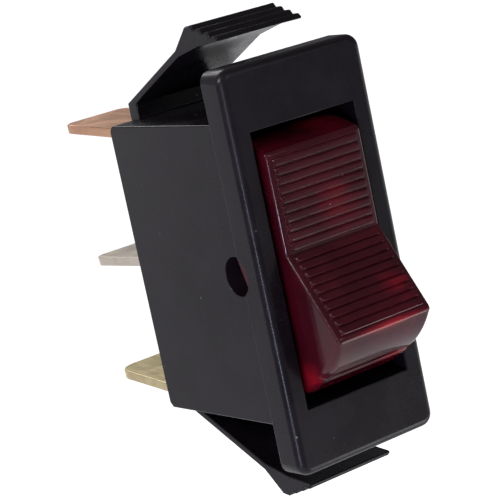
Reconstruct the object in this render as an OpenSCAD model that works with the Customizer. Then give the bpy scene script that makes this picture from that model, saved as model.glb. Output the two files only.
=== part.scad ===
// Lighted panel rocker switch, single pole, with a snap-in housing and three flat blades.
// The panel plane is y = 0: the bezel and rocker stand in front of it (-y), the case and the
// blades behind it (+y). z runs along the bezel, x across it. Millimetres.
// The rocker is drawn resting with its upper end pressed in, which is the off position.

/* [Bezel] */
// Width of the bezel
bezel_w = 13.8; // [13.6:0.1:18]
// Length of the bezel
bezel_l = 32.2; // [28:0.1:40]
// How far the bezel stands out past the case on each side
bezel_margin = 0.2; // [0.1:0.05:0.4]
// Thickness of the bezel in front of the panel
bezel_t = 2.65; // [1.8:0.05:3.2]
// Depth of the slope round the bezel's front edge
bezel_edge = 0.4; // [0.1:0.05:0.8]
// Corner radius of the bezel
bezel_corner_r = 1.1; // [0.5:0.1:2]
// Length of the opening round the rocker
opening_l = 22; // [21.6:0.1:24]

/* [Case] */
// Outer length of the case
case_l = 24; // [23.6:0.1:26]
// Depth of the case behind the panel plane
case_d = 14.6; // [14.2:0.1:18]
// Thickness of the case's side walls
side_wall = 1.6; // [1.2:0.05:1.8]
// Thickness of the case's end walls
end_wall = 0.9; // [0.6:0.05:1.1]
// Slope along the case's rear edge at both ends
case_corner = 0.4; // [0.1:0.1:0.8]
// Distance from the panel plane back to the rocker's pivot
pivot_y = 0.7; // [0.2:0.1:1.5]
// Radius of the pivot holes
pivot_hole_r = 1.6; // [1.2:0.05:2]

/* [Snap arms] */
// Width of each arm
arm_w = 8.3; // [6:0.1:12]
// Thickness of an arm where it leaves the case
arm_root_t = 1.3; // [0.8:0.1:2]
// Thickness of an arm along its slope
arm_t = 0.6; // [0.4:0.05:0.9]
// How far an arm's root stands behind the case
arm_setback = 0.5; // [0.1:0.1:1]
// Height at which an arm bends forward
arm_bend_h = 1.3; // [0.8:0.1:2]
// Height of the arm's outer face at its elbow
arm_elbow_h = 5.4; // [4:0.1:7]
// Depth of the elbow behind the panel plane
arm_elbow_y = 6.6; // [6:0.1:9]
// Height of the arm's highest step
arm_step_h = 7.3; // [6.8:0.1:9]
// Depth of the highest step behind the panel plane
arm_step_y = 3.8; // [3.6:0.1:4.8]
// Thickness of an arm under its highest step
arm_head_t = 1.7; // [1.4:0.1:2]
// Number of steps on each arm
step_count = 4; // [3:1:4]
// Distance from one step to the next
step_pitch = 1; // [0.8:0.05:1]
// Drop from one step to the next
step_drop = 0.33; // [0.2:0.01:0.34]
// How far the front of each step leans
step_lean = 0.26; // [0.1:0.02:0.3]

/* [Rocker] */
// Gap between the rocker and the opening on each side
rocker_gap = 0.45; // [0.2:0.05:0.6]
// Wall thickness of the rocker
rocker_wall = 0.9; // [0.6:0.05:1]
// Tilt of the rocker to each side of its middle position, in degrees
rocker_tilt = 17; // [12:0.5:18]
// Distance from the pivot out to the valley between the two pressing faces
valley_r = 4.23; // [3.8:0.05:5]
// Distance from the pivot out to the lip of each pressing face
lip_r = 6.55; // [6:0.05:7.2]
// Distance along the rocker from its middle to each lip
lip_z = 7.65; // [7:0.05:8]
// Radius of the rounded lip
lip_round = 0.45; // [0.1:0.05:0.6]
// Distance from the pivot out to the foot of each end face
heel_r = 2.2; // [1.6:0.05:3]
// Distance along the rocker from its middle to the foot of each end face
heel_z = 10; // [9.4:0.05:10.2]
// Distance along the rocker from its middle to each end of its skirt
skirt_z = 10.4; // [10:0.05:10.6]
// How far the skirt reaches behind the pivot
skirt_depth = 0.5; // [0.2:0.05:1]
// Number of ribs on each pressing face
rib_count = 10; // [6:1:12]
// Height of the ribs
rib_h = 0.2; // [0.1:0.02:0.3]
// Smooth margin beside the ribs
rib_margin = 0.5; // [0.3:0.05:1]
// Radial play of the pivot bosses in their holes
boss_play = 0.05; // [0.02:0.01:0.1]
// How far the ramp on each boss starts in front of the pivot
ramp_start = 0.68; // [0.2:0.02:1]
// How much the ramp cuts from a boss at its rear edge
ramp_depth = 1.5; // [0.6:0.1:1.8]

/* [Plunger and spring] */
// Distance from the lamp across to the plunger and contacts
mech_spacing = 3.85; // [3.8:0.05:3.95]
// Radius of the plunger
plunger_r = 1.1; // [0.9:0.05:1.2]
// Radial play of the plunger in its bore
plunger_play = 0.05; // [0.02:0.01:0.1]
// Width of the rocker's stem along z
stem_l = 3.6; // [3.2:0.1:4.2]
// How far the stem reaches behind the pivot
stem_depth = 3.8; // [2.5:0.1:4.5]
// How far the plunger reaches up its bore, measured out from the pivot
plunger_top = 0.1; // [-0.5:0.1:1]
// Wire radius of the plunger spring
spring_wire_r = 0.14; // [0.1:0.01:0.18]
// Turns of the plunger spring
spring_turns = 5; // [4:1:6]

/* [Contacts] */
// Thickness of the see-saw blade
seesaw_t = 0.5; // [0.3:0.05:0.6]
// Width of the see-saw blade
seesaw_w = 3; // [2.6:0.1:3.2]
// Tilt of the see-saw blade to each side of its middle position, in degrees
seesaw_tilt = 6; // [4:0.5:7]
// Distance from the see-saw's pivot to its contact
contact_z = 7; // [6:0.1:7.6]
// Length of the see-saw's idle half
seesaw_tail = 5; // [3.5:0.1:6]
// Radius of the see-saw's trunnions
trunnion_r = 0.4; // [0.3:0.02:0.45]
// Radial play of the trunnions in the saddle
trunnion_play = 0.05; // [0.02:0.01:0.1]
// Radius of the contact rivets' heads
contact_r = 1.15; // [0.9:0.05:1.3]
// Height of the contact rivets' heads
contact_h = 0.5; // [0.4:0.05:0.7]
// Radius of the rivets' shanks
shank_r = 0.55; // [0.4:0.05:0.65]
// Gap left between the closed contacts
contact_gap = 0.05; // [0.02:0.01:0.1]
// Thickness of the saddle's sheet
saddle_t = 0.4; // [0.3:0.05:0.5]

/* [Terminals] */
// Width of each blade
blade_w = 6.3; // [4.8:0.1:7]
// Thickness of each blade
blade_t = 0.8; // [0.5:0.05:1]
// Length of each blade behind the case
blade_l = 11.2; // [8:0.1:14]
// Gap between the blades and the case's left wall
blade_gap = 0.75; // [0.7:0.05:1.2]
// Height of the middle blade above the middle of the case
line_z = -0.1; // [-0.5:0.05:0]
// Radius of the upper blade's tip corners
load_tip_r = 0.9; // [0.3:0.1:2]
// Radius of the middle blade's tip corners
line_tip_r = 1.2; // [0.3:0.1:2]
// Radius of the lower blade's tip corners
lamp_tip_r = 1.6; // [0.3:0.1:2]
// Bend of the upper blade, away from the middle, in degrees
load_bend = 3; // [0.5:0.5:4]
// Bend of the middle blade, downwards, in degrees
line_bend = 2.5; // [0.5:0.5:4]
// Bend of the lower blade, towards the middle, in degrees
lamp_bend = 3; // [0.5:0.5:4]
// How far the lower blade steps outwards behind the case
lamp_step = 0.6; // [0.2:0.1:0.8]
// Extra width of the lower blade at its root, on each side
root_flare = 0.6; // [0.2:0.05:0.65]

/* [Base] */
// Thickness of the terminal base
base_t = 2; // [1.4:0.1:2.6]
// How far the base lies inside the case's rear edge
base_recess = 0.4; // [0.2:0.1:0.8]
// Gap all round between pieces that are pushed together
fit_gap = 0.03; // [0.01:0.01:0.06]

/* [Lamp] */
// Gap between the lamp and the rocker's inside
lamp_gap = 0.3; // [0.25:0.05:0.4]
// Outer radius of the lamp's glass
lamp_r = 1.2; // [1:0.05:1.25]
// Thickness of the lamp's glass
glass_t = 0.22; // [0.15:0.01:0.3]
// Height of the lamp's tip behind the panel plane
lamp_tip_y = -0.9; // [-1:0.1:0.5]
// Length of the lamp
lamp_l = 7.6; // [6.5:0.1:8]
// Wall thickness of the lamp's post
post_wall = 0.45; // [0.3:0.05:0.55]
// Depth at which the lamp's post begins
post_y = 5; // [4.6:0.1:6]
// Radius of the lamp's wires
wire_r = 0.15; // [0.1:0.01:0.18]
// Wall thickness of the sleeve on the upper lamp wire
sleeve_t = 0.2; // [0.1:0.02:0.3]

/* [Hidden] */
eps = 0.01;

// Case and base; the bezel's opening is as wide as the case's inside
case_w = bezel_w - 2 * bezel_margin;
cavity_w = case_w - 2 * side_wall;
blade_offset = cavity_w / 2 - blade_w / 2 - blade_gap;
cavity_l = case_l - 2 * end_wall;
base_back = case_d - base_recess;
base_front = base_back - base_t;
ledge_w = cavity_w / 2 - blade_offset - blade_w / 2 - 4 * fit_gap;
ledge_l = 1.6;
ledge_h = 2.4;
foot_front = base_front - blade_t;

// Blades
load_z = cavity_l / 2 - fit_gap - blade_t / 2;
foot_w = seesaw_w + 0.6;
foot_reach = shank_r + 1.1;
pad_l = 1.4;

// Rocker
rocker_w = cavity_w - 2 * rocker_gap;
boss_r = pivot_hole_r - boss_play;
boss_tip = case_w / 2 - 0.05;
lamp_offset = rocker_w / 2 - rocker_wall - lamp_gap - lamp_r;
mech_x = lamp_offset - mech_spacing;
bore_r = plunger_r + plunger_play;
face_run = norm([lip_z, lip_r - valley_r]);
face_dir = [lip_z, lip_r - valley_r] / face_run;
rib_pitch = (face_run - lip_round) / (rib_count + 0.25);
stem_left = -rocker_w / 2 + rocker_wall / 2;
stem_right = mech_x + bore_r + 0.6;
bore_roof = 0.3;
bore_top = valley_r - rocker_wall - bore_roof;

// See-saw: its pivot stands where the closed contacts nearly touch
dome_r = 3;
seat_y = foot_front - contact_h;
dome_out = seesaw_t / 2 + contact_h - dome_r;
fulcrum_y = seat_y - contact_gap - dome_out * cos(seesaw_tilt)
    - contact_z * sin(seesaw_tilt) - dome_r;
plunger_gap = 0.1;
plunger_reach = fulcrum_y - trunnion_r - plunger_gap - pivot_y;
ear_gap = 0.12;
ear_x = seesaw_w / 2 + ear_gap;
saddle_l = 3.4;
rivet_z = line_z - blade_t / 2 + saddle_l - 1.15;

// Lamp
lamp_back = lamp_tip_y + lamp_l;
post_r = lamp_r + fit_gap + post_wall;
wire_gap = 0.5;
wire_y = foot_front - 0.55;
wire_end_z = load_z - blade_t / 2 - pad_l / 2;
wire_end_x = -blade_offset + blade_w / 2 - 4 * wire_r;
wire_turn = 2.3 * wire_r;
wire_cross = 8 * wire_r;
pinch_l = 0.9;

// ---------------------------------------------------------------- helpers

function unit(v) = v / norm(v);
function left(v) = [-v[1], v[0]];

// Corner b of a path a-b-c, moved to its left by d.
function inset(a, b, c, d) =
    let (n1 = left(unit(b - a)), n2 = left(unit(c - b)))
    b + d * (n1 + n2) / (1 + n1 * n2);

// Points of an arc that rounds corner b of a path a-b-c.
function rounded(a, b, c, r, steps = 6) =
    let (
        u = unit(a - b), v = unit(c - b),
        half = acos(u * v) / 2,
        reach = r / tan(half),
        middle = b + unit(u + v) * r / sin(half),
        from = b + u * reach - middle,
        to = b + v * reach - middle,
        a0 = atan2(from[1], from[0]),
        turn = atan2(from[0] * to[1] - from[1] * to[0], from * to)
    )
    [for (i = [0:steps]) middle + r * [cos(a0 + turn * i / steps), sin(a0 + turn * i / steps)]];

// Mirrors a path about z = 0 and joins the halves.
function both_ends(path) =
    concat(path, [for (i = [len(path) - 1:-1:0]) [path[i][0], -path[i][1]]]);

// Extrudes an outline drawn in y and z across x.
module across(width) {
    rotate([90, 0, 90])
        translate([0, 0, -width / 2])
            linear_extrude(width)
                children();
}

// A cylinder whose axis runs along x.
module cross_pin(r, x0, x1) {
    translate([x0, 0, 0])
        rotate([0, 90, 0])
            cylinder(r = r, h = x1 - x0, $fn = 48);
}

// A cylinder whose axis runs back along y.
module back_pin(r, y0, y1) {
    translate([0, y1, 0])
        rotate([90, 0, 0])
            cylinder(r = r, h = y1 - y0, $fn = 48);
}

// A box between two corners.
module block(a, b) {
    translate(a)
        cube(b - a);
}

module for_both_ends() {
    children();
    mirror([0, 0, 1])
        children();
}

module for_both_sides() {
    children();
    mirror([1, 0, 0])
        children();
}

// A round wire swept along a list of points; it never runs along the direction ref.
function sweep_ring(p, t, r, sides, ref) =
    let (side = unit(cross(t, ref)), up = cross(side, t))
    [for (k = [0:sides - 1]) p + r * (side * cos(360 * k / sides) + up * sin(360 * k / sides))];

module wire(points, r, ref, sides = 8) {
    last = len(points) - 1;
    tangents = [for (i = [0:last]) unit(points[min(i + 1, last)] - points[max(i - 1, 0)])];
    rings = [for (i = [0:last]) each sweep_ring(points[i], tangents[i], r, sides, ref)];
    walls = [for (i = [0:last - 1]) for (k = [0:sides - 1])
        [i * sides + k, i * sides + (k + 1) % sides,
            (i + 1) * sides + (k + 1) % sides, (i + 1) * sides + k]];
    front = [[for (k = [sides - 1:-1:0]) k]];
    back = [[for (k = [0:sides - 1]) last * sides + k]];
    polyhedron(rings, concat(walls, front, back), convexity = 6);
}

// ---------------------------------------------------------------- housing

// The bezel: a plate with round corners whose front edge slopes all round.
module bezel_plate() {
    r = bezel_corner_r;
    e = bezel_edge;
    t = bezel_t;
    w = bezel_w / 2;
    l = bezel_l / 2;
    translate([0, 0, r - l])
        linear_extrude(2 * (l - r))
            polygon([[-w, 0], [-w, e - t], [e - w, -t], [w - e, -t], [w, e - t], [w, 0]]);
    across(2 * (w - r))
        polygon([[0, -l], [e - t, -l], [-t, e - l], [-t, l - e], [e - t, l], [0, l]]);
    for (x = [r - w, w - r], z = [r - l, l - r])
        translate([x, 0, z]) {
            back_pin(r, e - t, 0);
            rotate([90, 0, 0])
                translate([0, 0, t - e])
                    cylinder(r1 = r, r2 = r - e, h = e, $fn = 48);
        }
}

// Crest and foot of one step, as depth and height above the case's end.
function step_points(i) =
    let (y = arm_step_y - i * step_pitch, h = arm_step_h - i * step_drop)
    [[y, h], [y - step_lean, h - step_drop - 0.03]];

module snap_arm() {
    root = [case_d + arm_setback, arm_bend_h];
    elbow = [arm_elbow_y, arm_elbow_h];
    land = [arm_step_y + 0.9, arm_step_h - 0.12];
    steps = [for (i = [0:step_count - 1]) each step_points(i)];
    under = [arm_step_y - 0.5, arm_step_h - arm_head_t];
    crook = elbow + arm_t * left(unit(elbow - root));
    foot_h = -end_wall / 2;
    translate([0, 0, case_l / 2])
        across(arm_w)
            polygon(concat([[root[0], foot_h], root, elbow, land], steps,
                [under, crook, [root[0] - arm_root_t, arm_bend_h], [root[0] - arm_root_t, foot_h]]));
}

module case_shell() {
    l = case_l / 2;
    across(case_w)
        polygon([[-eps, -l], [case_d - case_corner, -l], [case_d, case_corner - l],
            [case_d, l - case_corner], [case_d - case_corner, l], [-eps, l]]);
}

module base_ledges() {
    for_both_ends()
        for_both_sides()
            block([cavity_w / 2 - ledge_w, base_front - ledge_h, cavity_l / 2 - ledge_l],
                [cavity_w / 2 + eps, base_front, cavity_l / 2 + eps]);
}

module housing() {
    color([0.035, 0.033, 0.04])
    difference() {
        union() {
            difference() {
                union() {
                    bezel_plate();
                    case_shell();
                    for_both_ends()
                        snap_arm();
                }
                block([-cavity_w / 2, 0, -cavity_l / 2], [cavity_w / 2, case_d + 2, cavity_l / 2]);
                block([-cavity_w / 2, -bezel_t - 1, -opening_l / 2], [cavity_w / 2, eps, opening_l / 2]);
            }
            base_ledges();
        }
        translate([0, pivot_y, 0])
            cross_pin(pivot_hole_r, -bezel_w, bezel_w);
    }
}

// ---------------------------------------------------------------- terminal base

module blade_slot(z) {
    w = blade_w / 2 + fit_gap;
    t = blade_t / 2 + fit_gap;
    block([-blade_offset - w, base_front - 1, z - t], [-blade_offset + w, base_back + 1, z + t]);
}

module terminal_base() {
    w = cavity_w / 2 - fit_gap;
    l = cavity_l / 2 - fit_gap;
    color([0.06, 0.055, 0.065])
    difference() {
        union() {
            block([-w, base_front, -l], [w, base_back, l]);
            translate([lamp_offset, 0, 0])
                back_pin(post_r, post_y, base_front + eps);
            block([lamp_offset - wire_gap, wire_y + 0.8, -post_r - 1.2],
                [lamp_offset + wire_gap, base_front + eps, post_r + 1.2]);
        }
        for (z = [line_z, load_z, -load_z])
            blade_slot(z);
        translate([lamp_offset, 0, 0])
            back_pin(lamp_r + fit_gap, post_y - 1, wire_y + wire_r + 0.2);
        block([lamp_offset - 2 * wire_r, wire_y - wire_r - 0.35, -post_r - 1],
            [lamp_offset + 2 * wire_r, wire_y + wire_r + 0.2, post_r + 1]);
        translate([mech_x, 0, rivet_z])
            back_pin(shank_r, base_front - 1, base_front + 0.8);
    }
}

// ---------------------------------------------------------------- rocker

// Turns what is drawn with the rocker in its middle position to where it rests.
module at_rest() {
    translate([0, pivot_y, 0])
        rotate([-rocker_tilt, 0, 0])
            children();
}

// Half of the rocker's side outline, from the valley to the skirt; the second value runs along z.
function half_outline() =
    let (
        valley = [-valley_r, 0], lip = [-lip_r, lip_z], heel = [-heel_r, heel_z],
        skirt = [skirt_depth, skirt_z]
    )
    concat([valley], rounded(valley, lip, heel, lip_round), [heel, skirt]);

function hollow_outline() =
    let (
        valley = [-valley_r, 0], lip = [-lip_r, lip_z], heel = [-heel_r, heel_z],
        skirt = [skirt_depth, skirt_z], t = rocker_wall,
        crown = inset([-lip_r, -lip_z], valley, lip, -t),
        top = inset(valley, lip, heel, -t),
        knee = inset(lip, heel, skirt, -t),
        mouth = [skirt_depth + 1, skirt_z - t]
    )
    [crown, top, knee, [skirt_depth, skirt_z - t], mouth];

// One rib's section, at a distance along a pressing face.
function rib_outline(i) =
    let (
        along = [-face_dir[1], face_dir[0]], out = [-face_dir[0], -face_dir[1]],
        start = [-valley_r, 0], s = (i + 0.25) * rib_pitch
    )
    [for (q = [[0.06, -0.05], [0.06, 0], [0.25, 1], [0.66, 1], [0.94, 0], [0.94, -0.05]])
        start + along * (s + q[0] * rib_pitch) + out * q[1] * rib_h];

module ribs() {
    for_both_ends()
        for (i = [0:rib_count - 1])
            across(rocker_w - 2 * rib_margin)
                polygon(rib_outline(i));
}

// Pivot boss with the ramp that lets it slide past the bezel.
module pivot_boss() {
    difference() {
        cross_pin(boss_r, rocker_w / 2 - 0.2, boss_tip);
        translate([0, 0, -boss_r - 1])
            linear_extrude(2 * boss_r + 2)
                polygon([[boss_tip, -ramp_start], [boss_tip - ramp_depth, boss_r],
                    [boss_tip - ramp_depth, boss_r + 1], [boss_tip + 1, boss_r + 1],
                    [boss_tip + 1, -ramp_start]]);
    }
}

module rocker() {
    color([0.42, 0.03, 0.08])
    at_rest()
    difference() {
        union() {
            difference() {
                across(rocker_w)
                    polygon(both_ends(half_outline()));
                across(rocker_w - 2 * rocker_wall)
                    polygon(both_ends(hollow_outline()));
            }
            ribs();
            for_both_sides()
                pivot_boss();
            block([stem_left, -valley_r + rocker_wall / 2, -stem_l / 2],
                [stem_right, stem_depth, stem_l / 2]);
        }
        translate([mech_x, 0, 0])
            back_pin(bore_r, -bore_top, stem_depth + 1);
    }
}

// ---------------------------------------------------------------- plunger and spring

module plunger() {
    color([0.85, 0.83, 0.76])
    at_rest()
    translate([mech_x, 0, 0])
        rotate([-90, 0, 0])
            rotate_extrude($fn = 48)
                polygon(concat([[0, -plunger_top], [plunger_r, -plunger_top]],
                    [for (a = [0:10:90])
                        [plunger_r * cos(a), plunger_reach - plunger_r + plunger_r * sin(a)]]));
}

module plunger_spring() {
    coil_r = plunger_r - spring_wire_r - 0.05;
    y0 = -bore_top + spring_wire_r;
    y1 = -plunger_top - spring_wire_r;
    closed = 2.5 * spring_wire_r;
    open = (y1 - y0 - 2 * closed) / spring_turns;
    per_turn = 14;
    steps = (spring_turns + 2) * per_turn;
    color([0.72, 0.72, 0.74])
    at_rest()
    translate([mech_x, 0, 0])
        wire([for (i = [0:steps])
            let (
                turn = i / per_turn,
                loose = min(max(turn - 1, 0), spring_turns),
                rise = loose * open + (turn - loose) * closed
            )
            [coil_r * cos(360 * turn), y0 + rise, coil_r * sin(360 * turn)]],
            spring_wire_r, [0, 1, 0], 6);
}

// ---------------------------------------------------------------- contacts

// Turns what is drawn with the see-saw level to where it rests.
module seesaw_rest() {
    translate([mech_x, fulcrum_y, 0])
        rotate([seesaw_tilt, 0, 0])
            children();
}

module seesaw_blade() {
    t = seesaw_t / 2;
    color([0.78, 0.52, 0.34])
    seesaw_rest()
    difference() {
        union() {
            block([-seesaw_w / 2, -t, -seesaw_tail], [seesaw_w / 2, t, contact_z + contact_r + 0.2]);
            cross_pin(trunnion_r, -ear_x - saddle_t, ear_x + saddle_t);
        }
        translate([0, 0, contact_z])
            back_pin(shank_r, -1, 1);
    }
}

module moving_contact() {
    t = seesaw_t / 2;
    edge = sqrt(dome_r * dome_r - contact_r * contact_r);
    half = asin(contact_r / dome_r);
    color([0.83, 0.83, 0.85])
    seesaw_rest()
    translate([0, 0, contact_z])
        rotate([-90, 0, 0])
            rotate_extrude($fn = 48)
                polygon(concat([[0, -t - 0.25], [shank_r + 0.2, -t - 0.25], [shank_r + 0.2, -t],
                    [shank_r, -t], [shank_r, t], [contact_r, t]],
                    [for (i = [0:6]) let (a = half * (6 - i) / 6)
                        [dome_r * sin(a), dome_out + dome_r * cos(a)]]));
}

module fixed_contact() {
    color([0.83, 0.83, 0.85])
    translate([mech_x, 0, contact_z]) {
        back_pin(contact_r, seat_y, foot_front);
        back_pin(shank_r, foot_front - eps, base_front);
    }
}

module saddle() {
    z0 = line_z - blade_t / 2;
    ear_l = 2.2;
    front = fulcrum_y - trunnion_r - 0.6;
    hole_r = trunnion_r + trunnion_play;
    color([0.78, 0.52, 0.34])
    difference() {
        translate([mech_x, 0, 0]) {
            block([-ear_x - saddle_t, foot_front - saddle_t, z0],
                [ear_x + saddle_t, foot_front, z0 + saddle_l]);
            for_both_sides()
                block([ear_x, front, -ear_l / 2], [ear_x + saddle_t, foot_front, ear_l / 2]);
        }
        translate([mech_x, fulcrum_y, 0])
            cross_pin(hole_r, -ear_x - 1, ear_x + 1);
        translate([mech_x, 0, rivet_z])
            back_pin(shank_r, foot_front - 1, foot_front + 1);
    }
}

module saddle_rivet() {
    color([0.8, 0.66, 0.38])
    translate([mech_x, 0, rivet_z]) {
        back_pin(shank_r + 0.35, foot_front - saddle_t - 0.3, foot_front - saddle_t);
        back_pin(shank_r, foot_front - saddle_t - eps, base_front + 0.8);
    }
}

// ---------------------------------------------------------------- terminals

// A flat blade whose sheet runs through the base, steps aside and bends a little behind the case.
module blade(z, tip_r, bend, root_w = blade_w, aside = 0) {
    w = root_w / 2;
    t = blade_t / 2;
    bend_y = aside > 0 ? case_d + arm_setback + blade_t : case_d;
    end = case_d + blade_l - bend_y;
    tip = rounded([w, 0], [blade_w / 2, end], [0, end], tip_r);
    translate([-blade_offset, 0, z]) {
        block([-blade_w / 2, foot_front, -t], [blade_w / 2, base_back, t]);
        block([-w, base_back, -t], [w, bend_y, t]);
        if (aside > 0)
            block([-w, bend_y - t, -t - aside], [w, bend_y + t, t]);
        translate([0, bend_y, -aside]) {
            cross_pin(t, -w, w);
            rotate([bend, 0, 0])
                translate([0, 0, -t])
                    linear_extrude(blade_t)
                        polygon(concat([[w, 0]], tip,
                            [for (i = [len(tip) - 1:-1:0]) [-tip[i][0], tip[i][1]]], [[-w, 0]]));
        }
    }
}

// Foot of a terminal on the base's front face, between two heights.
module foot(width, x, z0, z1) {
    block([x - width / 2, foot_front, z0], [x + width / 2, base_front, z1]);
}

module load_terminal() {
    inner = load_z - blade_t / 2;
    color([0.72, 0.47, 0.32])
    difference() {
        union() {
            blade(load_z, load_tip_r, load_bend);
            foot(blade_w, -blade_offset, inner - pad_l, inner + eps);
            foot(foot_w, mech_x, contact_z - foot_reach, inner);
        }
        translate([mech_x, 0, contact_z])
            back_pin(shank_r, foot_front - 1, base_front + 1);
    }
}

module line_terminal() {
    low = line_z - blade_t / 2;
    color([0.74, 0.68, 0.6])
    difference() {
        union() {
            blade(line_z, line_tip_r, -line_bend);
            foot(foot_w, mech_x, low, low + saddle_l);
        }
        translate([mech_x, 0, rivet_z])
            back_pin(shank_r, foot_front - 1, base_front + 1);
    }
}

module lamp_terminal() {
    inner = -load_z + blade_t / 2;
    color([0.68, 0.6, 0.36])
    union() {
        blade(-load_z, lamp_tip_r, lamp_bend, blade_w + 2 * root_flare, lamp_step);
        foot(blade_w, -blade_offset, inner - eps, inner + pad_l);
    }
}

// ---------------------------------------------------------------- lamp

module lamp_glass() {
    ri = lamp_r - glass_t;
    wall_end = lamp_back - pinch_l;
    color([0.9, 0.9, 0.88, 0.4])
    difference() {
        translate([lamp_offset, 0, 0])
            rotate([-90, 0, 0])
                rotate_extrude($fn = 48)
                    polygon(concat(
                        [for (a = [-90:10:0]) [lamp_r * cos(a), lamp_tip_y + lamp_r + lamp_r * sin(a)]],
                        [[lamp_r, lamp_back], [0, lamp_back], [0, wall_end], [ri, wall_end]],
                        [for (a = [0:-10:-90]) [ri * cos(a), lamp_tip_y + lamp_r + ri * sin(a)]]));
        for (z = [-wire_gap, wire_gap])
            translate([lamp_offset, 0, z])
                back_pin(wire_r, wall_end - 1, lamp_back + 1);
    }
}

module lamp_bead() {
    r = wire_r + 0.14;
    y = lamp_back - pinch_l - 1.1;
    color([0.6, 0.68, 0.72])
    difference() {
        translate([lamp_offset, y, 0])
            rotate([0, 0, 90])
                rotate([90, 0, 90])
                    translate([0, 0, -r])
                        linear_extrude(2 * r)
                            union() {
                                square([2 * r, 2 * wire_gap], center = true);
                                for (z = [-wire_gap, wire_gap])
                                    translate([0, z])
                                        circle(r, $fn = 32);
                            }
        for (z = [-wire_gap, wire_gap])
            translate([lamp_offset, 0, z])
                back_pin(wire_r, y - 1, y + 1);
    }
}

filament_y = lamp_tip_y + 2.6;
filament_turns = 6;
filament_r = 0.045;

module lamp_filament() {
    coil_r = 0.16;
    steps = filament_turns * 10;
    span = 2 * wire_gap - 2 * wire_r;
    color([0.35, 0.35, 0.37])
    wire([for (i = [0:steps])
        [lamp_offset + coil_r * sin(36 * i), filament_y + coil_r * (1 - cos(36 * i)) + filament_r,
            -span / 2 + span * i / steps]], filament_r, [0, 0, 1], 6);
}

// One lamp wire: back from the filament through the glass, along the base and over to its terminal.
function wire_route(end_z) =
    let (z0 = wire_gap, b = wire_turn, c = wire_cross, x0 = lamp_offset, x1 = wire_end_x)
    [[x0, filament_y - filament_r, z0], [x0, wire_y - b, z0], [x0, wire_y - 0.3 * b, z0 + 0.3 * b],
        [x0, wire_y, z0 + b], [x0, wire_y, end_z - 2 * c], [0.8 * x0 + 0.2 * x1, wire_y, end_z - 1.5 * c],
        [0.2 * x0 + 0.8 * x1, wire_y, end_z - c], [x1, wire_y, end_z - b],
        [x1, wire_y + 0.3 * b, end_z - 0.3 * b], [x1, foot_front - 0.3 * b, end_z], [x1, foot_front, end_z]];

module load_wire() {
    color([0.75, 0.75, 0.77])
    wire(wire_route(wire_end_z), wire_r, [1, 0, 0]);
}

module return_wire() {
    color([0.75, 0.75, 0.77])
    mirror([0, 0, 1])
        wire(wire_route(wire_end_z), wire_r, [1, 0, 0]);
}

module wire_sleeve() {
    z0 = post_r + 1.4;
    z1 = wire_end_z - 2 * wire_cross;
    color([0.93, 0.9, 0.8])
    translate([lamp_offset, wire_y, 0])
        difference() {
            translate([0, 0, z0])
                cylinder(r = wire_r + sleeve_t, h = z1 - z0, $fn = 32);
            translate([0, 0, z0 - 1])
                cylinder(r = wire_r, h = z1 - z0 + 2, $fn = 32);
        }
}

housing();
terminal_base();
rocker();
plunger();
plunger_spring();
seesaw_blade();
moving_contact();
fixed_contact();
saddle();
saddle_rivet();
line_terminal();
load_terminal();
lamp_terminal();
lamp_glass();
lamp_bead();
lamp_filament();
load_wire();
return_wire();
wire_sleeve();
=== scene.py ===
import math

import bmesh
import bpy
from mathutils import Matrix, Vector


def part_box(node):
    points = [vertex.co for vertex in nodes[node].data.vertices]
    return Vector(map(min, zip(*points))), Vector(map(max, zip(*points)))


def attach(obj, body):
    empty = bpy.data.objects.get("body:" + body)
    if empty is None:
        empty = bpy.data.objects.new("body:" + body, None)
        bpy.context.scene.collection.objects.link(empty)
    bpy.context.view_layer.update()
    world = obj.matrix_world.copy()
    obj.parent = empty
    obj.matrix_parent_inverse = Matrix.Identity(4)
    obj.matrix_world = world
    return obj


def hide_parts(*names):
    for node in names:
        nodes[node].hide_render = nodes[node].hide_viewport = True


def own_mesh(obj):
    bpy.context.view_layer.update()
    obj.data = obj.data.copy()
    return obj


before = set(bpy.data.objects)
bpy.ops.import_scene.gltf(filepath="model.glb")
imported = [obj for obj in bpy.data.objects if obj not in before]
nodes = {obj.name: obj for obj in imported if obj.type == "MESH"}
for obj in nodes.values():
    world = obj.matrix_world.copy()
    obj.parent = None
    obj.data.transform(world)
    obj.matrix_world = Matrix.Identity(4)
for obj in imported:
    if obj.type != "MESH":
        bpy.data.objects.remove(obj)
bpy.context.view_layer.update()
mm = 0.001
print("frame loaded:", len(nodes), "nodes")


# small helpers for node trees

def newNode(tree, kind, x, y, **values):
    node = tree.nodes.new(kind)
    node.location = (x, y)
    for key, value in values.items():
        setattr(node, key, value)
    return node


def setInputs(node, **values):
    for key, value in values.items():
        node.inputs[key.replace("_", " ")].default_value = value
    return node


def newGroup(name, inputs, outputs):
    group = bpy.data.node_groups.new(name, "ShaderNodeTree")
    for socket, kind, value in inputs:
        made = group.interface.new_socket(socket, in_out="INPUT", socket_type=kind)
        if value is not None:
            made.default_value = value
    for socket, kind in outputs:
        group.interface.new_socket(socket, in_out="OUTPUT", socket_type=kind)
    start = newNode(group, "NodeGroupInput", -900, 0)
    end = newNode(group, "NodeGroupOutput", 700, 0)
    return group, start, end


def mathNode(tree, operation, a, b, x, y):
    node = newNode(tree, "ShaderNodeMath", x, y, operation=operation)
    for socket, value in zip(node.inputs, (a, b)):
        if isinstance(value, (int, float)):
            socket.default_value = value
        elif value is not None:
            tree.links.new(value, socket)
    return node.outputs[0]


def mixColour(tree, factor, a, b, x, y):
    node = newNode(tree, "ShaderNodeMix", x, y, data_type="RGBA", clamp_factor=True)
    tree.links.new(factor, node.inputs[0])
    for socket, value in ((node.inputs[6], a), (node.inputs[7], b)):
        if isinstance(value, tuple):
            socket.default_value = value
        else:
            tree.links.new(value, socket)
    return node.outputs[2]


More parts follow.
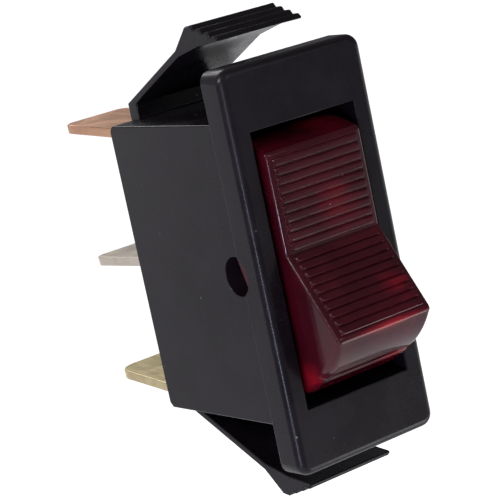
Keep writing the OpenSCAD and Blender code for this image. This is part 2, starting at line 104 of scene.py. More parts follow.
def mapRange(tree, value, low, high, x, y, toLow=0.0, toHigh=1.0):
    node = newNode(tree, "ShaderNodeMapRange", x, y, interpolation_type="SMOOTHSTEP")
    tree.links.new(value, node.inputs["Value"])
    ends = {"From Min": low, "From Max": high, "To Min": toLow, "To Max": toHigh}
    for key, end in ends.items():
        if isinstance(end, (int, float)):
            node.inputs[key].default_value = end
        else:
            tree.links.new(end, node.inputs[key])
    return node.outputs["Result"]


# effects shared by several materials

def buildMouldedSkin():
    group, start, end = newGroup("mouldedSkin", [
        ("Vector", "NodeSocketVector", None),
        ("Colour", "NodeSocketColor", (0.03, 0.03, 0.03, 1)),
        ("Cloud Colour", "NodeSocketColor", (0.05, 0.05, 0.05, 1)),
        ("Cloud Scale", "NodeSocketFloat", 180.0),
        ("Grain Scale", "NodeSocketFloat", 6000.0),
        ("Smooth", "NodeSocketFloat", 0.3),
        ("Rough", "NodeSocketFloat", 0.45)],
        [("Colour", "NodeSocketColor"), ("Roughness", "NodeSocketFloat"),
         ("Height", "NodeSocketFloat")])
    link = group.links.new
    cloud = newNode(group, "ShaderNodeTexNoise", -650, 250)
    setInputs(cloud, Detail=4.0, Roughness=0.55)
    link(start.outputs["Vector"], cloud.inputs["Vector"])
    link(start.outputs["Cloud Scale"], cloud.inputs["Scale"])
    grain = newNode(group, "ShaderNodeTexNoise", -650, -150)
    setInputs(grain, Detail=3.0, Roughness=0.6)
    link(start.outputs["Vector"], grain.inputs["Vector"])
    link(start.outputs["Grain Scale"], grain.inputs["Scale"])
    clouds = mapRange(group, cloud.outputs["Fac"], 0.35, 0.68, -400, 250)
    tint = mixColour(group, clouds, start.outputs["Colour"], start.outputs["Cloud Colour"], 300, 250)
    fine = mapRange(group, grain.outputs["Fac"], 0.3, 0.7, -400, -150)
    both = mathNode(group, "MULTIPLY_ADD", clouds, 0.6, -150, 50)
    both.node.inputs[2].default_value = 0.0
    shade = mathNode(group, "MULTIPLY_ADD", fine, 0.4, 50, 50)
    link(both, shade.node.inputs[2])
    rough = mapRange(group, shade, 0.0, 1.0, 300, 0, start.outputs["Smooth"], start.outputs["Rough"])
    link(tint, end.inputs["Colour"])
    link(rough, end.inputs["Roughness"])
    link(grain.outputs["Fac"], end.inputs["Height"])
    return group


def buildDust():
    group, start, end = newGroup("dustSpecks", [
        ("Vector", "NodeSocketVector", None),
        ("Scale", "NodeSocketFloat", 500.0),
        ("Amount", "NodeSocketFloat", 0.1),
        ("Size", "NodeSocketFloat", 0.08)],
        [("Mask", "NodeSocketFloat")])
    link = group.links.new
    cells = newNode(group, "ShaderNodeTexVoronoi", -600, 100)
    link(start.outputs["Vector"], cells.inputs["Vector"])
    link(start.outputs["Scale"], cells.inputs["Scale"])
    near = mathNode(group, "LESS_THAN", cells.outputs["Distance"], None, -300, 150)
    link(start.outputs["Size"], near.node.inputs[1])
    split = newNode(group, "ShaderNodeSeparateColor", -400, -100)
    link(cells.outputs["Color"], split.inputs[0])
    chosen = mathNode(group, "LESS_THAN", split.outputs[0], None, -150, -100)
    link(start.outputs["Amount"], chosen.node.inputs[1])
    mask = mathNode(group, "MULTIPLY", near, chosen, 150, 50)
    link(mask, end.inputs["Mask"])
    return group


def buildStampedMetal():
    group, start, end = newGroup("stampedMetal", [
        ("Vector", "NodeSocketVector", None),
        ("Colour", "NodeSocketColor", (0.7, 0.6, 0.4, 1)),
        ("Stain Colour", "NodeSocketColor", (0.5, 0.35, 0.25, 1)),
        ("Stretch", "NodeSocketVector", (1.0, 0.05, 1.0)),
        ("Streak Scale", "NodeSocketFloat", 9000.0),
        ("Stain Scale", "NodeSocketFloat", 350.0),
        ("Smooth", "NodeSocketFloat", 0.2),
        ("Rough", "NodeSocketFloat", 0.42)],
        [("Colour", "NodeSocketColor"), ("Roughness", "NodeSocketFloat"),
         ("Height", "NodeSocketFloat")])
    link = group.links.new
    squeeze = newNode(group, "ShaderNodeVectorMath", -750, -100, operation="MULTIPLY")
    link(start.outputs["Vector"], squeeze.inputs[0])
    link(start.outputs["Stretch"], squeeze.inputs[1])
    streak = newNode(group, "ShaderNodeTexNoise", -550, -100)
    setInputs(streak, Detail=5.0, Roughness=0.6)
    link(squeeze.outputs[0], streak.inputs["Vector"])
    link(start.outputs["Streak Scale"], streak.inputs["Scale"])
    stain = newNode(group, "ShaderNodeTexNoise", -550, 250)
    setInputs(stain, Detail=6.0, Roughness=0.62, Distortion=0.5)
    link(start.outputs["Vector"], stain.inputs["Vector"])
    link(start.outputs["Stain Scale"], stain.inputs["Scale"])
    stains = mapRange(group, stain.outputs["Fac"], 0.42, 0.72, -300, 250)
    lines = mapRange(group, streak.outputs["Fac"], 0.3, 0.7, -300, -100)
    tint = mixColour(group, stains, start.outputs["Colour"], start.outputs["Stain Colour"], 300, 250)
    both = mathNode(group, "MULTIPLY_ADD", lines, 0.5, 0, 0)
    half = mathNode(group, "MULTIPLY", stains, 0.5, -150, 120)
    link(half, both.node.inputs[2])
    rough = mapRange(group, both, 0.0, 1.0, 300, 0, start.outputs["Smooth"], start.outputs["Rough"])
    link(tint, end.inputs["Colour"])
    link(rough, end.inputs["Roughness"])
    link(streak.outputs["Fac"], end.inputs["Height"])
    return group


def buildGlowSpot():
    # a soft ellipsoid mask of painted glow, standing in for light inside translucent plastic
    group, start, end = newGroup("glowSpot", [
        ("Vector", "NodeSocketVector", None),
        ("Centre", "NodeSocketVector", (0.0, 0.0, 0.0)),
        ("Size", "NodeSocketVector", (0.002, 0.002, 0.002)),
        ("Break Up", "NodeSocketFloat", 0.3)],
        [("Mask", "NodeSocketFloat")])
    link = group.links.new
    shift = newNode(group, "ShaderNodeVectorMath", -700, 100, operation="SUBTRACT")
    link(start.outputs["Vector"], shift.inputs[0])
    link(start.outputs["Centre"], shift.inputs[1])
    scale = newNode(group, "ShaderNodeVectorMath", -520, 100, operation="DIVIDE")
    link(shift.outputs[0], scale.inputs[0])
    link(start.outputs["Size"], scale.inputs[1])
    length = newNode(group, "ShaderNodeVectorMath", -340, 100, operation="LENGTH")
    link(scale.outputs[0], length.inputs[0])
    along = newNode(group, "ShaderNodeVectorMath", -880, -150, operation="MULTIPLY")
    along.inputs[1].default_value = (0.25, 1.0, 1.0)
    link(start.outputs["Vector"], along.inputs[0])
    ripple = newNode(group, "ShaderNodeTexNoise", -700, -150)
    setInputs(ripple, Scale=1500.0, Detail=4.0)
    link(along.outputs[0], ripple.inputs["Vector"])
    uneven = mathNode(group, "MULTIPLY", ripple.outputs["Fac"], None, -500, -150)
    link(start.outputs["Break Up"], uneven.node.inputs[1])
    reach = mathNode(group, "ADD", length.outputs["Value"], uneven, -150, 50)
    mask = mapRange(group, reach, 1.3, 0.1, 100, 50)
    link(mask, end.inputs["Mask"])
    return group


skinGroup = buildMouldedSkin()
dustGroup = buildDust()
metalGroup = buildStampedMetal()
glowGroup = buildGlowSpot()
print("shader groups built")


# materials

def newMaterial(name):
    material = bpy.data.materials.new(name)
    material.use_nodes = True
    tree = material.node_tree
    tree.nodes.clear()
    out = newNode(tree, "ShaderNodeOutputMaterial", 900, 0)
    shader = newNode(tree, "ShaderNodeBsdfPrincipled", 600, 0)
    tree.links.new(shader.outputs[0], out.inputs[0])
    place = newNode(tree, "ShaderNodeTexCoord", -600, 0)
    return material, tree, shader, place.outputs["Object"]


def placeGroup(tree, group, place, x, y, **values):
    node = newNode(tree, "ShaderNodeGroup", x, y, node_tree=group)
    tree.links.new(place, node.inputs["Vector"])
    return setInputs(node, **values)


def addBump(tree, height, shader, strength, distance):
    bump = newNode(tree, "ShaderNodeBump", 350, -250)
    setInputs(bump, Strength=strength, Distance=distance)
    tree.links.new(height, bump.inputs["Height"])
    tree.links.new(bump.outputs[0], shader.inputs["Normal"])


def rgba(colour):
    return tuple(colour) + (1.0,)


def plasticMaterial(name, look):
    material, tree, shader, place = newMaterial(name)
    skin = placeGroup(tree, skinGroup, place, -250, 50, Colour=rgba(look["colour"]),
                      Cloud_Colour=rgba(look["cloud"]), Cloud_Scale=look["cloudScale"],
                      Grain_Scale=look["grainScale"], Smooth=look["smooth"], Rough=look["rough"])
    colour = skin.outputs["Colour"]
    if look.get("dust"):
        dust = placeGroup(tree, dustGroup, place, -250, 350, Scale=look["dustScale"],
                          Amount=look["dust"], Size=look["dustSize"])
        colour = mixColour(tree, dust.outputs["Mask"], colour, rgba(look["dustColour"]), 100, 250)
    tree.links.new(colour, shader.inputs["Base Color"])
    tree.links.new(skin.outputs["Roughness"], shader.inputs["Roughness"])
    addBump(tree, skin.outputs["Height"], shader, look["bump"], look["bumpDepth"])
    setInputs(shader, IOR=look["ior"])
    return material


def metalMaterial(name, look):
    material, tree, shader, place = newMaterial(name)
    metal = placeGroup(tree, metalGroup, place, -250, 50, Colour=rgba(look["colour"]),
                       Stain_Colour=rgba(look["stain"]), Stretch=look["stretch"],
                       Streak_Scale=look["streakScale"], Stain_Scale=look["stainScale"],
                       Smooth=look["smooth"], Rough=look["rough"])
    tree.links.new(metal.outputs["Colour"], shader.inputs["Base Color"])
    tree.links.new(metal.outputs["Roughness"], shader.inputs["Roughness"])
    addBump(tree, metal.outputs["Height"], shader, look["bump"], look["bumpDepth"])
    setInputs(shader, Metallic=look["metallic"])
    return material


def glassMaterial(name, look):
    material, tree, shader, place = newMaterial(name)
    skin = placeGroup(tree, skinGroup, place, -250, 50, Colour=rgba(look["colour"]),
                      Cloud_Colour=rgba(look["cloud"]), Cloud_Scale=look["cloudScale"],
                      Grain_Scale=look["grainScale"], Smooth=look["smooth"], Rough=look["rough"])
    tree.links.new(skin.outputs["Colour"], shader.inputs["Base Color"])
    tree.links.new(skin.outputs["Roughness"], shader.inputs["Roughness"])
    setInputs(shader, IOR=look["ior"], Transmission_Weight=look["transmission"])
    return material


blackLook = {
    "colour": (0.0062, 0.0042, 0.0068), "cloud": (0.0085, 0.006, 0.0092), "cloudScale": 260.0,
    "grainScale": 7000.0, "smooth": 0.22, "rough": 0.36, "ior": 1.38,
    "bump": 0.25, "bumpDepth": 0.00002,
    "dust": 0.35, "dustScale": 600.0, "dustSize": 0.045, "dustColour": (0.2, 0.19, 0.19),
}
baseLook = dict(blackLook, colour=(0.012, 0.011, 0.013), cloud=(0.02, 0.018, 0.021), smooth=0.45,
                rough=0.6, dust=0.0)
plungerLook = {
    "colour": (0.62, 0.59, 0.5), "cloud": (0.7, 0.68, 0.6), "cloudScale": 400.0,
    "grainScale": 9000.0, "smooth": 0.35, "rough": 0.5, "ior": 1.5,
    "bump": 0.15, "bumpDepth": 0.00001,
}
sleeveLook = dict(plungerLook, colour=(0.75, 0.7, 0.55), cloud=(0.82, 0.78, 0.66), smooth=0.45, rough=0.6)
copperLook = {
    "colour": (0.72, 0.41, 0.26), "stain": (0.62, 0.35, 0.23), "stretch": (1.0, 0.05, 1.0),
    "streakScale": 7000.0, "stainScale": 250.0, "smooth": 0.28, "rough": 0.5, "metallic": 0.85,
    "bump": 0.2, "bumpDepth": 0.00001,
}
tinLook = dict(copperLook, colour=(0.76, 0.69, 0.6), stain=(0.7, 0.6, 0.49))
brassLook = dict(copperLook, colour=(0.7, 0.6, 0.34), stain=(0.58, 0.45, 0.25))
contactLook = dict(copperLook, colour=(0.75, 0.45, 0.28), stain=(0.55, 0.3, 0.2), stretch=(1.0, 1.0, 0.05))
silverLook = dict(copperLook, colour=(0.78, 0.78, 0.8), stain=(0.55, 0.53, 0.5), stretch=(1.0, 1.0, 1.0))
rivetLook = dict(copperLook, colour=(0.74, 0.6, 0.32), stretch=(1.0, 1.0, 1.0))
steelLook = dict(copperLook, colour=(0.62, 0.62, 0.64), stain=(0.45, 0.44, 0.43), stretch=(1.0, 1.0, 1.0),
                 metallic=1.0)
tungstenLook = dict(steelLook, colour=(0.2, 0.2, 0.22), stain=(0.1, 0.1, 0.11), smooth=0.4, rough=0.6)
lampLook = {
    "colour": (0.95, 0.95, 0.93), "cloud": (0.9, 0.9, 0.86), "cloudScale": 300.0,
    "grainScale": 4000.0, "smooth": 0.02, "rough": 0.06, "ior": 1.5, "transmission": 1.0,
}
beadLook = dict(lampLook, colour=(0.6, 0.72, 0.78), cloud=(0.5, 0.62, 0.7), smooth=0.1, rough=0.2)

blackPlastic = plasticMaterial("satinBlackPlastic", blackLook)
basePlastic = plasticMaterial("dullBlackPlastic", baseLook)
plungerPlastic = plasticMaterial("naturalNylon", plungerLook)
sleevePlastic = plasticMaterial("sleevePlastic", sleeveLook)
copperMetal = metalMaterial("bareCopperAlloy", copperLook)
tinMetal = metalMaterial("tinnedBrass", tinLook)
brassMetal = metalMaterial("bareBrass", brassLook)
contactMetal = metalMaterial("contactCopper", contactLook)
silverMetal = metalMaterial("contactSilver", silverLook)
rivetMetal = metalMaterial("rivetBrass", rivetLook)
steelMetal = metalMaterial("springSteel", steelLook)
tungstenMetal = metalMaterial("tungstenWire", tungstenLook)
lampGlass = glassMaterial("lampGlass", lampLook)
beadGlass = glassMaterial("beadGlass", beadLook)
print("materials built")


# mesh helpers

def addObject(name, bm, material):
    mesh = bpy.data.meshes.new(name)
    bm.to_mesh(mesh)
    bm.free()
    piece = bpy.data.objects.new(name, mesh)
    bpy.context.scene.collection.objects.link(piece)
    mesh.materials.append(material)
    return piece


def smoothByAngle(piece, degrees):
    mesh = piece.data
    mesh.shade_smooth()
    mesh.set_sharp_from_angle(angle=math.radians(degrees))
    weighted = piece.modifiers.new("evenNormals", "WEIGHTED_NORMAL")
    weighted.keep_sharp = True


copyFit = {"weld": 0.002, "flatAngle": 0.6}    # merges coplanar triangles so that edges can be rounded


def cadCopy(node):
    bm = bmesh.new()
    bm.from_mesh(nodes[node].data)
    bmesh.ops.remove_doubles(bm, verts=bm.verts, dist=copyFit["weld"] * mm)
    flat = math.radians(copyFit["flatAngle"])
    bmesh.ops.dissolve_limit(bm, angle_limit=flat, verts=bm.verts, edges=bm.edges)
    bm.normal_update()
    return bm


def sharpEdges(bm, degrees, test):
    # edges that turn by more than the angle, where the test of their middle holds
    chosen = []
    for edge in bm.edges:
        if len(edge.link_faces) != 2 or edge.calc_face_angle() < math.radians(degrees):
            continue
        middle = (edge.verts[0].co + edge.verts[1].co) / 2
        if test(middle):
            chosen.append(edge)
    return chosen


def roundEdges(bm, edges, radius, segments):
    bmesh.ops.bevel(bm, geom=edges, offset=radius, offset_type="OFFSET", segments=segments,
                    profile=0.5, affect="EDGES", clamp_overlap=False)
    bm.normal_update()


# housing: the bezel, case and snap arms

housingShape = {
    "frontRound": 0.27,    # the bezel's sloped front edge, rounded on both sides
    "rearRound": 0.12,
    "openingRound": 0.1,
    "caseRound": 0.12,
    "armRound": 0.1,
    "stepRound": 0.04,
    "holeRound": 0.06,
    "frontBand": 0.45,     # depth of the front edge
    "openingSide": 5.3, "openingEnd": 11.3,
    "bezelSide": 6.85, "bezelEnd": 16.0,
    "caseSide": 6.6, "caseEnd": 12.0, "caseFront": 0.3,
    "caseInset": 0.5,      # how far inside the case's ends an edge still counts as outer
    "holeWall": 4.9, "holeReach": 1.7, "holeDepth": 2.4,
    "armFront": 0.2, "armOut": 0.3, "stepOut": 5.4, "stepDepth": 4.9,
    "near": 0.01,
    "sharpAngle": 28, "smoothAngle": 35,
}


def buildHousing(shape):
    bm = cadCopy("housing")
    size = {key: value * mm for key, value in shape.items()}
    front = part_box("housing")[0].y

    def besideOpening(middle):
        return abs(middle.x) > size["openingSide"] or abs(middle.z) > size["openingEnd"]

    def atHole(middle):
        return abs(middle.z) < size["holeReach"] and middle.y < size["holeDepth"]

    def onBezelFront(middle):
        return middle.y < front + size["frontBand"] and besideOpening(middle)

    def onOpening(middle):
        return middle.y < front + size["near"] and not besideOpening(middle)

    def onBezelRear(middle):
        outer = abs(middle.x) > size["bezelSide"] or abs(middle.z) > size["bezelEnd"]
        return abs(middle.y) < size["near"] and outer

    def onSteps(middle):
        out = abs(middle.z) > size["caseEnd"] + size["stepOut"]
        return size["armFront"] < middle.y < size["stepDepth"] and out

    def onArm(middle):
        return middle.y > size["armFront"] and abs(middle.z) > size["caseEnd"] + size["armOut"]

    def onCase(middle):
        outside = abs(middle.x) > size["caseSide"] or abs(middle.z) > size["caseEnd"] - size["caseInset"]
        onHoleEdge = abs(middle.x) > size["holeWall"] and atHole(middle)
        within = abs(middle.z) < size["caseEnd"] + size["near"]
        return middle.y > size["caseFront"] and within and outside and not onHoleEdge

    def onHole(middle):
        return abs(middle.x) > size["caseSide"] and atHole(middle) and middle.y > 0.1 * size["near"]

    for test, radius, segments in (
            (onBezelFront, shape["frontRound"], 4), (onOpening, shape["openingRound"], 3),
            (onBezelRear, shape["rearRound"], 2), (onSteps, shape["stepRound"], 2),
            (onArm, shape["armRound"], 2), (onCase, shape["caseRound"], 2),
            (onHole, shape["holeRound"], 2)):
        roundEdges(bm, sharpEdges(bm, shape["sharpAngle"], test), radius * mm, segments)
    piece = addObject("housing_shell", bm, blackPlastic)
    smoothByAngle(piece, shape["smoothAngle"])
    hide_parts("housing")
    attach(piece, "housing_body")
    return piece


housing = buildHousing(housingShape)
print("housing built:", len(housing.data.polygons), "faces")


# rocker: a hollow ribbed cap, drawn level and then turned to where it rests

rockerShape = {
    "width": 9.3, "wall": 0.9, "tilt": 17.0, "pivotDepth": 0.7,
    "valley": 4.23, "lipOut": 6.55, "lipAlong": 7.65, "lipRound": 0.45,
    "heelOut": 2.2, "heelAlong": 10.0, "heelRound": 2.4, "endBulge": 0.33, "footRound": 0.8,
    "skirtAlong": 10.4, "skirtDepth": 0.5, "sideRound": 0.26,
    "ribs": 10, "ribHeight": 0.2, "ribMargin": 0.5, "ribEdge": 0.1, "ribGroove": 0.11,
    "firstRib": 0.25,      # gap below the first rib, in rib pitches
    "ribCorner": 0.75,     # corner radius of a rib, against half its width
    "ribLoops": (0, 0.012, 0.03, 0.06, 0.11), "treadLoops": (0.3, 0.45),
    "acrossLoops": (-0.01, 0.015, 0.04, 0.075, 0.12, 0.18, 0.26, 0.4, 1.2),
    "sideAngles": (90, 68, 45, 22, 0), "smoothAngle": 30,
    "bossRadius": 1.55, "bossReach": 6.65, "rampStart": 0.68, "rampDepth": 1.5,
    "stemLeft": -3.75, "stemRight": 0.15, "stemHalf": 1.8, "stemDepth": 3.8,
    "boreAt": -1.6, "boreRadius": 1.15, "boreTop": 3.03,
}


def arcCorner(a, b, c, radius, steps):
    # points that round corner b of the path a, b, c
    toA, toC = (a - b).normalized(), (c - b).normalized()
    half = toA.angle(toC) / 2
    middle = b + (toA + toC).normalized() * radius / math.sin(half)
    first = b + toA * radius / math.tan(half) - middle
    last = b + toC * radius / math.tan(half) - middle
    turn = math.atan2(first.x * last.y - first.y * last.x, first.dot(last))
    start = math.atan2(first.y, first.x)
    angles = [start + turn * i / steps for i in range(steps + 1)]
    return [middle + radius * Vector((math.cos(angle), math.sin(angle))) for angle in angles]


def ribProfile(along, across, shape, pitch, start):
    # height of the ribbed face at a point, with every rib's edges and ends rounded
    count = shape["ribs"]
    index = min(max(int((along - start) / pitch), 0), count - 1)
    middle = start + (index + 0.5) * pitch
    halfAlong = pitch / 2 - shape["ribGroove"] / 2
    halfAcross = shape["width"] / 2 - shape["ribMargin"]
    corner = shape["ribCorner"] * halfAlong
    dx = abs(across) - (halfAcross - corner)
    dy = abs(along - middle) - (halfAlong - corner)
    outside = math.hypot(max(dx, 0), max(dy, 0)) + min(max(dx, dy), 0) - corner
    t = min(max(1 + outside / shape["ribEdge"], 0), 1)
    return shape["ribHeight"] * math.sqrt(max(1 - t * t, 0))


def outlineCorners(shape):
    # valley, lip, heel and skirt end of one half, as (y, z) points
    return (Vector((-shape["valley"], 0)),
            Vector((-shape["lipOut"], shape["lipAlong"])),
            Vector((-shape["heelOut"], shape["heelAlong"])),
            Vector((shape["skirtDepth"], shape["skirtAlong"])))


def rockerPath(shape):
    # side outline from one skirt end to the other: points (y, z), outward normals, place along a face
    valley, lip, heel, skirt = outlineCorners(shape)
    run = (lip - valley).normalized()
    pitch = ((lip - valley).length - shape["lipRound"]) / (shape["ribs"] + shape["firstRib"])
    start = shape["firstRib"] * pitch
    half = shape["ribGroove"] * 0.5
    loops = [0.0] + [half + t for t in shape["ribLoops"]] + list(shape["treadLoops"])
    loops += [pitch - half - t for t in reversed(shape["ribLoops"])]
    stops = [0.0, start * 0.5]
    stops += [start + i * pitch + t for i in range(shape["ribs"]) for t in loops]
    stops.append(start + shape["ribs"] * pitch)
    face = [(valley + run * s, s) for s in stops]
    lipArc = [(p, None) for p in arcCorner(valley, lip, heel, shape["lipRound"], 7)]
    heelArc = [(p, None) for p in arcCorner(lip, heel, skirt, shape["heelRound"], 6)]
    endOut = Vector((-(heel - lip).y, (heel - lip).x)).normalized()
    endFace = []
    for t in [i / 10 for i in range(1, 10)]:
        bulge = shape["endBulge"] * 4 * t * (1 - t)
        endFace.append((lipArc[-1][0].lerp(heelArc[0][0], t) + endOut * bulge, None))
    face = [f for f in face if (f[0] - valley).length < (lipArc[0][0] - valley).length - 0.004]
    upper = face + lipArc + endFace + heelArc + [(skirt, None)]
    path = [(Vector((p.x, -p.y)), s) for p, s in reversed(upper[1:])] + upper
    normals = []
    for i, (p, s) in enumerate(path):
        before = path[max(i - 1, 0)][0]
        after = path[min(i + 1, len(path) - 1)][0]
        d = (after - before).normalized()
        normals.append(Vector((-d.y, d.x)))
    normals[0], normals[-1] = Vector((0, -1)), Vector((0, 1))
    for i, (p, s) in enumerate(path):
        if s is not None and s > 0.001:
            sign = 1 if p.y > 0 else -1
            normals[i] = Vector((-run.y, sign * run.x))
    return path, normals, pitch, start


def rockerColumns(shape, r):
    # places across the rocker, with how much the outline is drawn in there to round the side edges
    w = shape["width"] / 2
    columns = [(w - r + r * math.sin(a), r * (1 - math.cos(a)))
               for a in [math.radians(d) for d in shape["sideAngles"]]]
    edge = w - shape["ribMargin"]
    squeeze = min(1.0, (w - r - 0.03) / edge)
    columns += [((edge - back) * squeeze, 0) for back in shape["acrossLoops"]]
    return [(-x, d) for x, d in columns] + [(x, d) for x, d in reversed(columns)]


def buildRockerCap(bm, shape):
    path, normals, pitch, start = rockerPath(shape)
    grid = []
    for (p, s), n in zip(path, normals):
        row = []
        foot = min(max((abs(p.y) - shape["lipAlong"]) / (shape["heelAlong"] - shape["lipAlong"]), 0), 1)
        sideRound = shape["sideRound"] + foot * (shape["footRound"] - shape["sideRound"])
        columns = rockerColumns(shape, sideRound)
        for x, inset in columns:
            lift = ribProfile(s, x, shape, pitch, start) if s is not None and s > start * 0.9 else 0.0
            at = p + n * (lift - inset)
            row.append(bm.verts.new((x, at.x, at.y)))
        grid.append(row)
    for a, b in zip(grid, grid[1:]):
        for j in range(len(columns) - 1):
            bm.faces.new((a[j], b[j], b[j + 1], a[j + 1]))
    bm.faces.new([row[0] for row in reversed(grid)])
    bm.faces.new([row[-1] for row in grid])
    # hollow inside
    t, w = shape["wall"], shape["width"] / 2 - shape["wall"]
    valley, lip, heel, skirt = outlineCorners(shape)

    def inner(a, b, c):
        n1 = Vector((-(b - a).y, (b - a).x)).normalized()
        n2 = Vector((-(c - b).y, (c - b).x)).normalized()
        return b - (n1 + n2) * t / (1 + n1.dot(n2))

    upper = [inner(Vector((lip.x, -lip.y)), valley, lip), inner(valley, lip, heel),
             inner(lip, heel, skirt), Vector((skirt.x, skirt.y - t))]
    hollow = [Vector((p.x, -p.y)) for p in reversed(upper[1:])] + upper
    left = [bm.verts.new((-w, p.x, p.y)) for p in hollow]
    right = [bm.verts.new((w, p.x, p.y)) for p in hollow]
    for i in range(len(hollow) - 1):
        bm.faces.new((left[i], right[i], right[i + 1], left[i + 1]))
    bm.faces.new(left)
    bm.faces.new(list(reversed(right)))
    bm.faces.new([grid[0][j] for j in range(len(columns))] + [right[0], left[0]])
    bm.faces.new([grid[-1][j] for j in reversed(range(len(columns)))] + [left[-1], right[-1]])
    bm.faces.new((grid[0][0], left[0], left[-1], grid[-1][0]))
    bm.faces.new((grid[0][-1], grid[-1][-1], right[-1], right[0]))


def buildStem(bm, shape):
    # block with a round bore, open towards the contacts
    x0, x1, z = shape["stemLeft"], shape["stemRight"], shape["stemHalf"]
    y0, y1 = -shape["valley"] + shape["wall"], shape["stemDepth"]
    r, cx, top = shape["boreRadius"], shape["boreAt"], -shape["boreTop"]
    corners = [(x0, -z), (x1, -z), (x1, z), (x0, z)]
    back = [bm.verts.new((x, y1, zz)) for x, zz in corners]
    front = [bm.verts.new((x, y0, zz)) for x, zz in corners]
    sides = 32
    angles = [2 * math.pi * i / sides for i in range(sides)]
    ring = [(cx + r * math.cos(a), r * math.sin(a)) for a in angles]
    mouth = [bm.verts.new((x, y1, zz)) for x, zz in ring]
    roof = [bm.verts.new((x, top, zz)) for x, zz in ring]
    for i in range(4):
        bm.faces.new((front[i], back[i], back[(i + 1) % 4], front[(i + 1) % 4]))
    bm.faces.new(front)
    for i in range(sides):
        bm.faces.new((mouth[i], roof[i], roof[(i + 1) % sides], mouth[(i + 1) % sides]))
    bm.faces.new(list(reversed(roof)))
    edges = [bm.edges.get((back[i], back[(i + 1) % 4])) for i in range(4)]
    edges += [bm.edges.get((mouth[i], mouth[(i + 1) % sides])) for i in range(sides)]
    bmesh.ops.triangle_fill(bm, use_beauty=True, edges=edges)


def buildBoss(bm, shape, side):
    # round pivot whose end slopes away behind, so that it slides past the bezel
    inner, outer, r = shape["width"] / 2 - 0.05, shape["bossReach"], shape["bossRadius"]
    sides = 48
    ringIn, ringOut = [], []
    for i in range(sides):
        a = 2 * math.pi * i / sides
        y, z = r * math.cos(a), r * math.sin(a)
        slope = max(0.0, (y + shape["rampStart"]) / (r + shape["rampStart"])) * shape["rampDepth"]
        ringIn.append(bm.verts.new((side * inner, y, z)))
        ringOut.append(bm.verts.new((side * (outer - slope), y, z)))
    for i in range(sides):
        j = (i + 1) % sides
        bm.faces.new((ringIn[i], ringIn[j], ringOut[j], ringOut[i]))
    bm.faces.new(ringIn)
    chord = [i for i in range(sides) if ringOut[i].co.y < -shape["rampStart"] + 0.001]
    flat = [ringOut[i] for i in chord]
    rest = [ringOut[i % sides] for i in range(chord[-1], chord[0] + sides + 1)]
    bm.faces.new(flat)
    bm.faces.new(rest)


def rockerMaterial(look):
    material, tree, shader, place = newMaterial("redTranslucentPlastic")
    skin = placeGroup(tree, skinGroup, place, -250, 50, Colour=rgba(look["colour"]),
                      Cloud_Colour=rgba(look["cloud"]), Cloud_Scale=look["cloudScale"],
                      Grain_Scale=look["grainScale"], Smooth=look["smooth"], Rough=look["rough"])
    colour = skin.outputs["Colour"]
    glow = None
    # painted light: the glow masks lighten the base colour towards a bright red
    for i, spot in enumerate(look["paintedGlows"]):
        node = placeGroup(tree, glowGroup, place, -250, 350 + 260 * i, Centre=spot["centre"],
                          Size=spot["size"], Break_Up=spot["breakUp"])
        part = mathNode(tree, "MULTIPLY", node.outputs["Mask"], spot["strength"], 0, 350 + 200 * i)
        glow = part if glow is None else mathNode(tree, "MAXIMUM", glow, part, 160, 350 + 200 * i)
    colour = mixColour(tree, glow, colour, rgba(look["bright"]), 330, 300)
    dust = placeGroup(tree, dustGroup, place, -250, -350, Scale=look["dustScale"], Amount=look["dust"],
                      Size=look["dustSize"])
    colour = mixColour(tree, dust.outputs["Mask"], colour, rgba(look["dustColour"]), 450, 200)
    tree.links.new(colour, shader.inputs["Base Color"])
    # the same painted glow also drives the emission, though the switch's lamp is off
    light = mixColour(tree, glow, (0.0, 0.0, 0.0, 1.0), rgba(look["emit"]), 330, -100)
    tree.links.new(light, shader.inputs["Emission Color"])
    tree.links.new(skin.outputs["Roughness"], shader.inputs["Roughness"])
    addBump(tree, skin.outputs["Height"], shader, look["bump"], look["bumpDepth"])
    setInputs(shader, IOR=look["ior"], Transmission_Weight=look["transmission"], Emission_Strength=1.0)
    return material


redLook = {
    "colour": (0.07, 0.0035, 0.012), "cloud": (0.11, 0.0045, 0.015), "cloudScale": 300.0,
    "grainScale": 5000.0, "smooth": 0.09, "rough": 0.16, "ior": 1.45, "transmission": 0.5,
    "bump": 0.08, "bumpDepth": 0.00001, "bright": (0.62, 0.012, 0.03), "emit": (0.05, 0.001, 0.003),
    "dust": 0.35, "dustScale": 600.0, "dustSize": 0.045, "dustColour": (0.35, 0.25, 0.25),
    "paintedGlows": [    # painted glows of light passing through, along the lip, at the foot, on the left cheek, and in the upper and lower halves
        {"centre": (0.0004, -0.0078, -0.0054), "size": (0.0046, 0.0006, 0.0005),
         "breakUp": 0.5, "strength": 1.0},
        {"centre": (0.0028, -0.0046, -0.0088), "size": (0.003, 0.0014, 0.0009),
         "breakUp": 0.6, "strength": 0.6},
        {"centre": (-0.0047, -0.0034, -0.009), "size": (0.0008, 0.0022, 0.0024),
         "breakUp": 0.6, "strength": 0.6},
        {"centre": (0.0008, -0.0034, 0.0042), "size": (0.0036, 0.002, 0.0046),
         "breakUp": 1.0, "strength": 0.3},
        {"centre": (0.0024, -0.001, 0.01), "size": (0.0034, 0.003, 0.0014),
         "breakUp": 0.8, "strength": 0.3},
        {"centre": (0.0028, -0.0064, -0.003), "size": (0.0028, 0.002, 0.0034),
         "breakUp": 1.2, "strength": 0.45},
    ],
}


def restPlace(shape):
    # from the level rocker, in millimetres, to where it rests in the frame
    turn = Matrix.Rotation(math.radians(-shape["tilt"]), 4, "X")
    return Matrix.Translation((0, shape["pivotDepth"] * mm, 0)) @ turn @ Matrix.Scale(mm, 4)


